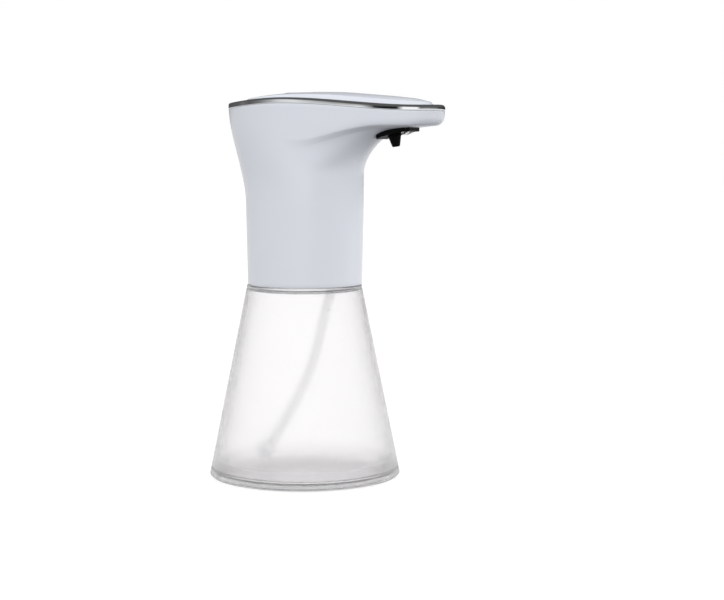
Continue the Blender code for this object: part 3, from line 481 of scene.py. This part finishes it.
def tube_rings(path, radius, steps=32):
    """Rings square to a path that lies in the plane of symmetry."""
    rings = []
    for k, centre in enumerate(path):
        ahead = path[min(k + 1, len(path) - 1)] - path[max(k - 1, 0)]
        across = Vector((ahead.z, 0.0, -ahead.x)).normalized()
        turns = [2 * pi * n / steps for n in range(steps)]
        rings.append([centre + across * (radius * cos(t)) + Vector((0, radius * sin(t), 0))
                      for t in turns])
    return rings


def make_dip_tube():
    """Hollow silicone tube from the pump's inlet to a slotted strainer by the bottle's wall."""
    route = [(x, 0.0, z) for x, z in TUBE_ROUTE]
    path = smooth_path(route, TUBE_STEP)
    outer = tube_rings(path, TUBE_R)
    inner = tube_rings(path, TUBE_BORE)
    tube = object_of("soft_dip_tube", skin(outer + inner[::-1], loop=True))
    piece(tube, "head", "clear_silicone", "dip_tube")
    turn = Vector((0, 0, 1)).rotation_difference(STRAINER_DIRECTION).to_matrix()
    start = path[-1] + STRAINER_DIRECTION * 0.6
    wide, tall = STRAINER_R, STRAINER_H
    profile = softened(((0, 0), (2.6, 0), (wide, 1.2), (wide, 6.0), (3.0, tall), (0, tall)), 0.3)
    strainer = object_of("strainer", moved(turned(profile, 72), start, turn))
    combine(strainer, moved(cylinder(2.4, 3.0, 8.0), start, turn), "DIFFERENCE")
    for k in range(4):
        spin = Matrix.Rotation(pi * k / 4, 3, "Z")
        slit = block((-0.45, 0.45), (-5.0, 5.0), (3.4, 5.8))
        combine(strainer, moved(slit, start, turn @ spin), "DIFFERENCE")
    piece(strainer, "head", "grey_plastic", "inlet_strainer")
    for soft in (tube, strainer):
        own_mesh(soft)


# ---------------------------------------------------------------- head outline

def ease(t):
    """A smooth step from 0 to 1."""
    t = np.clip(t, 0.0, 1.0)
    return t * t * (3 - 2 * t)


def front_profile():
    """The head's front edge in the plane of symmetry, from the neck's foot to its top."""
    neck_x = NECK_R + FRONT_DRAFT * (THROAT_Z - HEAD_BOTTOM)
    wide, tall = THROAT_TOP[0] - neck_x, THROAT_TOP[1] - THROAT_Z
    turns = np.linspace(0, atan(tall / wide / SPOUT_SLOPE), 60)
    throat = [Vector((THROAT_TOP[0] - wide * cos(t), THROAT_Z + tall * sin(t))) for t in turns]
    spout = throat[-1]
    top = Vector((TIP_X, TIP_TOP_Z))
    tip_x = TIP_X - TIP_DRAFT * (TIP_TOP_Z - spout.y)
    corner_z = spout.y + SPOUT_SLOPE * (tip_x - spout.x) / (1 - SPOUT_SLOPE * TIP_DRAFT)
    corner = Vector((TIP_X - TIP_DRAFT * (TIP_TOP_Z - corner_z), corner_z))
    back, on = (spout - corner).normalized(), (top - corner).normalized()
    half = back.angle(on) / 2
    centre = corner + (back + on).normalized() * (LIP_R / sin(half))
    start = corner + back * (LIP_R / tan(half)) - centre
    end = corner + on * (LIP_R / tan(half)) - centre
    sweep = pi - 2 * half
    lip = [centre + (start * sin((1 - w) * sweep) + end * sin(w * sweep)) / sin(sweep)
           for w in np.linspace(0, 1, 24)]
    return np.array([Vector((NECK_R, HEAD_BOTTOM)), *throat, *lip, top])


FRONT = front_profile()
NORMALS = np.linspace(0, 2 * pi, DENSE, endpoint=False)


def front_x(z):
    """How far forward the head reaches at a height."""
    above = TIP_X - TOP_INSET * ((z - TIP_TOP_Z) / TOP_INSET_H) ** 2
    return np.where(z >= TIP_TOP_Z, above, np.interp(z, FRONT[:, 1], FRONT[:, 0]))


def outline(z, inset=0.0):
    """The head's outline, at one height or at a height for each of NORMALS."""
    z = np.broadcast_to(z, NORMALS.shape)
    flare = ease((z - FLARE_START) / (FLARE_END - FLARE_START))
    side = NECK_R + SIDE_DRAFT * (np.minimum(z, FLARE_START) - HEAD_BOTTOM)
    reach = front_x(z)
    share = np.clip((reach - SPOUT_START) / (TIP_X - SPOUT_START - 2.0), 0.0, 1.0)
    nose_r = NECK_NOSE_R + (TIP_R - NECK_NOSE_R) * (1 - (1 - share) ** 2)
    back_x, nose_x = -BACK_SHIFT * flare, reach - nose_r
    back_r = side + (TOP_R - side) * flare
    back = back_x * np.cos(NORMALS) + back_r
    nose = nose_x * np.cos(NORMALS) + nose_r
    weight = 1 / (1 + np.exp(BLEND * (back - nose)))
    out = np.logaddexp(BLEND * back, BLEND * nose) / BLEND - inset
    slide = -(back_x * (1 - weight) + nose_x * weight) * np.sin(NORMALS)
    x = out * np.cos(NORMALS) - slide * np.sin(NORMALS)
    y = out * np.sin(NORMALS) + slide * np.cos(NORMALS)
    return x, y


def arch(x):
    """Height of the head's top edge, a smooth arch along X."""
    (x0, z0), (x1, z1), (x2, z2) = ARCH_BACK, ARCH_PEAK, ARCH_FRONT
    behind = x < x1
    width = np.where(behind, x1 - x0, x2 - x1)
    start, end = np.where(behind, z0, z1), np.where(behind, z1, z2)
    m0, m1 = np.where(behind, ARCH_BACK_SLOPE, 0.0), np.where(behind, 0.0, ARCH_FRONT_SLOPE)
    t = (x - np.where(behind, x0, x1)) / width
    return (start * (2 * t ** 3 - 3 * t ** 2 + 1) + m0 * width * (t ** 3 - 2 * t ** 2 + t)
            + end * (3 * t ** 2 - 2 * t ** 3) + m1 * width * (t ** 3 - t ** 2))


def even(x, y, z):
    """The closed ring as points an equal distance apart, from the spout's tip round."""
    ring = np.stack([x, y, np.broadcast_to(z, x.shape)], axis=1)
    ring = np.vstack([ring, ring[:1]])
    along = np.concatenate([[0], np.cumsum(np.hypot(*np.diff(ring[:, :2], axis=0).T))])
    marks = np.linspace(0, along[-1], RING, endpoint=False)
    return np.stack([np.interp(marks, along, ring[:, k]) for k in range(3)], axis=1)


def level_ring(z, inset=0.0, drop=0.0):
    """A level ring of the outline, taken a drop lower than where it is put."""
    x, y = outline(max(z - drop, HEAD_BOTTOM), inset)
    return even(x, y, z)


def sagged(ring):
    """Slides the ring down the head's sides, so that the spout's underside runs into the neck."""
    x, y, z = ring.T
    along = ease((48 - x) / 50) * ease((x + 20) / 34)
    aside = ease((np.abs(y) - 3) / 20)
    height = ease((z - 144) / 24) * ease((182 - z) / 10)
    return np.stack([x, y, z - SAG * along * aside * height], axis=1)


def top_ring(drop, inset):
    """A ring that follows the arch, a drop below it and inset from the outline."""
    x, y = outline(TIP_TOP_Z, inset)
    for _ in range(3):
        x, y = outline(arch(x) - drop, inset)
    return even(x, y, arch(x) - drop)


def front_levels():
    """Heights that step evenly along the head's front edge, up to below its rim."""
    low = FRONT[FRONT[:, 1] < EVEN_TOP_Z]
    along = np.concatenate([[0], np.cumsum(np.hypot(*np.diff(low, axis=0).T))])
    return np.interp(np.arange(2.0, along[-1], 1.1), along, low[:, 1])


# ---------------------------------------------------------------- head

def make_head_shell():
    """Neck and spout in one shell, with a soft lower edge and rim."""
    rings = [level_ring(HEAD_BOTTOM, 0.4), level_ring(HEAD_BOTTOM + 0.12, 0.12),
             level_ring(HEAD_BOTTOM + 0.4)]
    rings += [sagged(level_ring(z)) for z in front_levels()]
    rim = top_ring(TRIM_H + RIM_GAP + 0.3, 0.0)
    last = rings[-1]
    rings += [last + (rim - last) * share for share in (0.2, 0.4, 0.6, 0.8)]
    rings += [rim, top_ring(TRIM_H + RIM_GAP + 0.06, 0.08), top_ring(TRIM_H + RIM_GAP, 0.3),
              top_ring(TRIM_H + RIM_GAP, WALL)]
    for z in (177.4, 176.9, 176.3, 175.7, 174.9, 173.5, 171.5, 168.5, 164, 157, 146, 136):
        rings.append(level_ring(z, WALL, ROOF_DROP))
    rings.append(level_ring(HEAD_BOTTOM, WALL))
    shell = object_of("head_casing", skin(rings, loop=True))
    opening = rounded(BEZEL_X, BEZEL_HALF, BEZEL_CORNER, GAP)
    combine(shell, prism(opening, (155, 181)), "DIFFERENCE")
    piece(shell, "head", "white_abs", "head_shell")


def make_chrome_trim():
    """Bright band with a barely convex face and a rounded top edge."""
    face = [(TRIM_H, 0.14), (TRIM_H - 0.05, 0.04), (TRIM_H - 0.14, 0.0), (2.4, 0.0), (1.9, 0.0),
            (1.3, 0.0), (1.1, 0.0)]
    edge = [(1.1 - 1.1 * sin(t), 0.7 - 0.7 * cos(t)) for t in np.linspace(0.2, pi / 2, 9)]
    rings = [top_ring(drop, inset) for drop, inset in face + edge]
    rings += [top_ring(0.0, TRIM_WALL), top_ring(TRIM_H, TRIM_WALL)]
    trim = object_of("chrome_band", skin(rings, loop=True), 60.0)
    piece(trim, "head", "chrome", "chrome_trim")


def lid_ring(inward, height, depth=0.0):
    """A ring of the lid at a share of its width, a height above its edge.

    inward is 0 at the edge, 1 at the foot of the crown's bevel, 2 at its top and 3 at the
    middle line.
    """
    base = top_ring(0.2, TRIM_WALL + GAP)
    nose_x = TIP_X - TIP_R
    middle = np.clip(base[:, 0], -BACK_SHIFT, nose_x - 2)
    reach = np.hypot(base[:, 0] - middle, base[:, 1])
    forward = ease((base[:, 0] + 20) / 80)
    ledge = LEDGE_BACK + (LEDGE_TIP - LEDGE_BACK) * forward - TRIM_WALL
    marks = [np.zeros_like(ledge), ledge - 1.2, ledge + 0.6, reach - 0.2]
    whole = min(int(inward), 2)
    share = inward - whole
    step = marks[whole] * (1 - share) + marks[whole + 1] * share
    keep = 1 - step / reach
    x, y = middle + (base[:, 0] - middle) * keep, base[:, 1] * keep
    swell = 0.84 + 0.30 * ease((x + 8) / 38) - 0.26 * ease((x - 44) / 24)
    return np.stack([x, y, arch(x) - 0.2 + height * swell - depth], axis=1)


def make_top_cover():
    """Crowned lid with a flat ledge round it, and a hole for the button."""
    steps = [(0.0, -0.35), (0.02, -0.08), (0.06, 0.0), (0.5, 0.02), (0.9, 0.06), (1.0, 0.2)]
    for t in np.linspace(0.08, 1.0, 9):
        steps.append((1 + t, 0.2 + (CROWN_EDGE - 0.2) * sin(t * pi / 2)))
    for t in np.linspace(0.04, 0.99, 26):
        steps.append((2 + t, CROWN_EDGE + CROWN * (1 - (1 - t) ** 2)))
    top = [lid_ring(inward, height) for inward, height in steps]
    under = [lid_ring(inward, height, LID_WALL) for inward, height in steps[:-1:4]]
    centre = lid_ring(2.99, CROWN_EDGE + CROWN, LID_WALL)
    lid = object_of("lid", skin([*top[::-1], *under, centre]))
    combine(lid, cylinder(BUTTON_R + 2.0, 180, 200, 96), "DIFFERENCE")
    piece(lid, "head", "white_abs", "top_cover")


def make_button():
    """Dished push button on its stem, inside a pale light ring."""
    top = BUTTON_TOP
    profile = [(0, 184.3), (2.2, 184.3), (2.2, 188.6), (BUTTON_R, 188.6), (BUTTON_R, top - 0.6),
               (BUTTON_R - 0.08, top - 0.28), (BUTTON_R - 0.3, top - 0.08),
               (BUTTON_R - 0.6, top), (BUTTON_R - 1.2, top - 0.02), (BUTTON_R - 2.0, top - 0.14),
               (BUTTON_R * 0.5, top - 0.34), (BUTTON_R * 0.25, top - 0.44), (0, top - 0.47)]
    piece(object_of("button", turned(profile)), "button", "white_abs", "power_button")
    inner, outer = BUTTON_R + GAP, BUTTON_R + 2.0 - GAP
    profile = ((outer, 188.0), (outer, top - 0.5), (inner + 0.2, top - 0.3),
               (inner, top - 0.5), (inner, 188.0))
    ring = object_of("button_ring", turned(softened(profile, 0.12)))
    piece(ring, "head", "clear_silicone", "light_ring")


# ---------------------------------------------------------------- outlet and sensor

def bezel_z(x):
    """Height of the sensor bezel's lower face, which curves with the throat."""
    across = (THROAT_TOP[0] - x) / BEZEL_AXES[0]
    return THROAT_Z + BEZEL_AXES[1] * sqrt(1 - across ** 2)


def nozzle_at():
    """The nozzle's root, on the bezel's lower face."""
    return (NOZZLE_X, 0.0, bezel_z(NOZZLE_X))


def nozzle_turn():
    """Leans the nozzle square to the bezel's curve."""
    return Matrix.Rotation(-NOZZLE_TILT, 3, "Y")


def bezel_ring(grow, rise, share=1.0):
    """The bezel's outline drawn in towards its middle, a rise above its lower face."""
    middle = (BEZEL_X[0] + BEZEL_X[1]) / 2
    points = [(middle + (x - middle) * share, y * share)
              for x, y in rounded(BEZEL_X, BEZEL_HALF, BEZEL_CORNER, grow)]
    return [(x, y, bezel_z(x) + rise) for x, y in points]


def make_bezel():
    """Curved black plate round the nozzle, with soft edges."""
    rings = [bezel_ring(-0.6, 0.0, share) for share in (0.02, 0.25, 0.5, 0.75, 0.9, 1.0)]
    for t in np.linspace(0.2, 1.0, 6):
        rings.append(bezel_ring(-0.6 + 0.6 * sin(t * pi / 2), 0.6 - 0.6 * cos(t * pi / 2)))
    rings += [bezel_ring(0.0, BEZEL_DEEP, share) for share in (1.0, 0.7, 0.35, 0.02)]
    bezel = object_of("sensor_plate", skin(rings))
    bore = moved(cylinder(NOZZLE_BASE_R + GAP, -6, 12), nozzle_at(), nozzle_turn())
    combine(bezel, bore, "DIFFERENCE")
    hole = rounded(LENS_X, LENS_HALF, LENS_CORNER, GAP)
    combine(bezel, prism(hole, (155, 185)), "DIFFERENCE")
    piece(bezel, "head", "black_plastic", "sensor_bezel")


def make_lens():
    """Pale domed lens, deepest beside the nozzle."""
    slope = (LENS_Z[1] - LENS_Z[0]) / (LENS_X[1] - LENS_X[0])
    middle = sum(LENS_X) / 2
    rings = []
    edge = [(0.0, 0.9, share) for share in (0.05, 0.4, 0.75, 1.0)]
    edge += [(0.9 * (1 - cos(t)), 0.9 * (1 - sin(t)), 1.0) for t in np.linspace(0.25, pi / 2, 7)]
    for rise, shrink, share in edge:
        points = rounded(LENS_X, LENS_HALF, LENS_CORNER, -shrink)
        rings.append([(middle + (x - middle) * share, y * share,
                       LENS_Z[0] + rise + slope * (middle + (x - middle) * share - LENS_X[0]))
                      for x, y in points])
    rings.append([(x, y, LENS_TOP) for x, y in rounded(LENS_X, LENS_HALF, LENS_CORNER)])
    piece(object_of("sensor_lens", skin(rings)), "head", "frosted", "ir_window")


def make_nozzle():
    """Tapered outlet with shallow ribs down it and an open bore."""
    tip, base, drop = NOZZLE_TIP_R, NOZZLE_BASE_R, NOZZLE_DROP
    profile = softened(((1.0, -drop), (tip - 0.3, -drop), (tip, 0.35 - drop),
                        (base - 0.2, -1.3), (base, -0.9), (base, 6.6), (2.0, 6.6), (2.0, 1.6),
                        (1.0, 1.6)), 0.18)
    rings = []
    steps = NOZZLE_RIBS * 8
    for radius, height in profile:
        depth = 0.12 if radius > 1.5 and -drop + 0.4 < height < -1.0 else 0.0
        ring = []
        for k in range(steps):
            turn = 2 * pi * k / steps
            r = radius - depth * (0.5 + 0.5 * cos(NOZZLE_RIBS * turn))
            ring.append((r * cos(turn), r * sin(turn), height))
        rings.append(ring)
    nozzle = object_of("outlet_nozzle", moved(skin(rings, loop=True), nozzle_at(), nozzle_turn()))
    piece(nozzle, "head", "black_plastic", "nozzle")


# ---------------------------------------------------------------- bottle

def cone_r(z):
    """Outer radius of the bottle at a height."""
    return BASE_R - CONE_SLOPE * z


def make_bottle():
    """Frosted cone with a rounded shoulder, an open neck and three bayonet lugs."""
    low = FLOOR_TOP + FOOT_GAP
    under = SHOULDER_Z - SHOULDER_WALL
    profile = ((cone_r(low), low), (cone_r(93.5), 93.5), (cone_r(94) - 0.3, SHOULDER_Z),
               (NECK_OUTER, SHOULDER_Z), (NECK_OUTER, NECK_TOP), (NECK_INNER, NECK_TOP),
               (NECK_INNER, under), (cone_r(under) - WALL - 0.3, under),
               (cone_r(under - 0.3) - WALL, under - 0.3), (cone_r(low) - WALL, low))
    shell = object_of("bottle_cone", turned(softened(profile, 0.12), FINE_ROUND))
    for middle in LUG_ANGLES:
        radii = (NECK_OUTER - 0.6, NECK_OUTER + LUG_REACH)
        combine(shell, arc_block(radii, LUG_Z, middle, LUG_HALF), "UNION")
    piece(shell, "bottle", "frosted", "bottle_shell")


def make_bottle_base():
    """Floor of the bottle: a recess for the pad below, and a spigot inside the cone."""
    recess = PAD_R + 0.4
    spigot = cone_r(FLOOR_TOP) - WALL - GAP
    lip, top = spigot - 2.3, FLOOR_TOP + SPIGOT_H
    profile = ((0, FLOOR_UNDER), (recess, FLOOR_UNDER), (recess, RIM_BOTTOM),
               (RIM_R - 0.7, RIM_BOTTOM), (RIM_R, RIM_BOTTOM + 0.7),
               (cone_r(FLOOR_TOP), FLOOR_TOP), (spigot - 0.1, FLOOR_TOP),
               (spigot - 1.1, top), (lip, top), (lip, FLOOR_TOP), (0, FLOOR_TOP))
    base = object_of("bottle_foot", turned(softened(profile, 0.1), FINE_ROUND))
    piece(base, "bottle", "frosted", "bottle_base")


def make_foot_pad():
    """Rubber pad with shallow rings moulded in its lower face."""
    profile = [(0, 0.0)]
    for inner in range(6, 40, 4):
        profile += [(inner, 0.0), (inner + 0.3, 0.3), (inner + 1.1, 0.3), (inner + 1.4, 0.0)]
    profile += [(PAD_R - 0.5, 0.0), (PAD_R, 0.5), (PAD_R, 1.6), (0, 1.6)]
    pad = object_of("foot_ring_pad", turned(softened(profile, 0.12, 2)))
    piece(pad, "bottle", "rubber", "foot_pad")


def make_seal():
    """Clear ring between the bottle's shoulder and the head."""
    inner, outer = NECK_OUTER + GAP, SEAL_R
    low, high = SHOULDER_Z + GAP, HEAD_BOTTOM - GAP
    profile = ((outer, low), (outer, high), (inner, high), (inner, low))
    seal = object_of("collar_seal", turned(softened(profile, 0.35), FINE_ROUND))
    piece(seal, "seal", "clear_silicone", "seal_ring")


# ---------------------------------------------------------------- carried-over nodes

def finish_nodes():
    """Gives every node its slot's finish, and each shown one smooth curves and crisp corners."""
    for row in frame["record"]["subparts"]:
        node = frame["nodes"][row["node"]]
        node.data.materials.clear()
        node.data.materials.append(MATERIALS[row["material_slot"]])
        if node.hide_render:
            continue
        node.data.shade_smooth()
        weld = node.modifiers.new("weld", "WELD")
        weld.merge_threshold = 1e-6
        split = node.modifiers.new("split", "EDGE_SPLIT")
        split.split_angle = radians(30)


# ---------------------------------------------------------------- studio

def make_floor():
    """A pale table top that light and gloss don't bounce off."""
    bm = bmesh.new()
    bmesh.ops.create_circle(bm, cap_ends=True, segments=96, radius=6.0)
    floor = object_of("floor", bm)
    made, shader = shader_material("paper", (PAPER, PAPER, PAPER), 0.9)
    shader.inputs["Emission Color"].default_value = (1.0, 1.0, 1.0, 1.0)
    shader.inputs["Emission Strength"].default_value = PAPER_GLOW
    tree = made.node_tree
    tree.links.new(spread(tree, noise(tree, 30.0), 0.85, 0.95), shader.inputs["Roughness"])
    floor.data.materials.append(made)
    floor.visible_diffuse = False
    floor.visible_glossy = False


def ramp(tree, source, stops):
    """A grey ramp through (position, brightness) stops."""
    node = tree.nodes.new("ShaderNodeValToRGB")
    elements = node.color_ramp.elements
    while len(elements) < len(stops):
        elements.new(0.5)
    for element, (position, value) in zip(elements, stops):
        element.position = position
        element.color = (value, value, value, 1.0)
    tree.links.new(source, node.inputs["Fac"])
    return node.outputs["Color"]


def mixed(tree, factor, low, high):
    """Goes from low to high with the factor; each is a brightness or a colour output."""
    node = tree.nodes.new("ShaderNodeMix")
    node.data_type = "RGBA"
    for socket, value in (("A", low), ("B", high)):
        if isinstance(value, float):
            node.inputs[socket].default_value = (value, value, value, 1.0)
        else:
            tree.links.new(value, node.inputs[socket])
    tree.links.new(factor, node.inputs["Factor"])
    return node.outputs["Result"]


def make_world():
    """White room: an even glow, and tall cards and a dark ceiling that only gloss picks up."""
    world = bpy.data.worlds.new("studio")
    world.use_nodes = True
    bpy.context.scene.world = world
    tree = world.node_tree
    where = tree.nodes.new("ShaderNodeTexCoord")
    round_z = tree.nodes.new("ShaderNodeTexGradient")
    round_z.gradient_type = "RADIAL"
    tree.links.new(where.outputs["Generated"], round_z.inputs["Vector"])
    cards = ramp(tree, round_z.outputs["Fac"], CARDS)
    parts = tree.nodes.new("ShaderNodeSeparateXYZ")
    tree.links.new(where.outputs["Generated"], parts.inputs["Vector"])
    height = tree.nodes.new("ShaderNodeMapRange")
    height.inputs["From Min"].default_value = -1.0
    tree.links.new(parts.outputs["Z"], height.inputs["Value"])
    level = height.outputs["Result"]
    sky = ramp(tree, level, SKY)
    low = ramp(tree, level, HORIZON)
    ground = ramp(tree, level, GROUND)
    room = mixed(tree, low, mixed(tree, sky, cards, CEILING), ground)
    path = tree.nodes.new("ShaderNodeLightPath")
    lit = mixed(tree, path.outputs["Is Glossy Ray"], ramp(tree, level, GLOW), room)
    through = mixed(tree, path.outputs["Is Transmission Ray"], lit, 1.0)
    seen = mixed(tree, path.outputs["Is Camera Ray"], through, 1.0)
    tree.links.new(seen, tree.nodes["Background"].inputs["Color"])


def area_light(name, at, target, size, watts):
    """A softbox that only lights: gloss doesn't pick it up."""
    data = bpy.data.lights.new(name, "AREA")
    data.size = size
    data.energy = watts
    light = bpy.data.objects.new(name, data)
    bpy.context.scene.collection.objects.link(light)
    light.location = at
    light.rotation_mode = "QUATERNION"
    light.rotation_quaternion = (Vector(target) - Vector(at)).to_track_quat("-Z", "Y")
    light.visible_glossy = False
    light.visible_camera = False
    light.visible_transmission = False


# ---------------------------------------------------------------- build

make_camera()
MATERIALS = make_materials()
make_dip_tube()
make_head_shell()
make_chrome_trim()
make_top_cover()
make_button()
make_bezel()
make_lens()
make_nozzle()
make_bottle()
make_bottle_base()
make_foot_pad()
make_seal()
finish_nodes()
make_floor()
make_world()
area_light("front_box", *FRONT_BOX)
area_light("throat_box", *THROAT_BOX)
bpy.context.scene.view_settings.view_transform = "Standard"
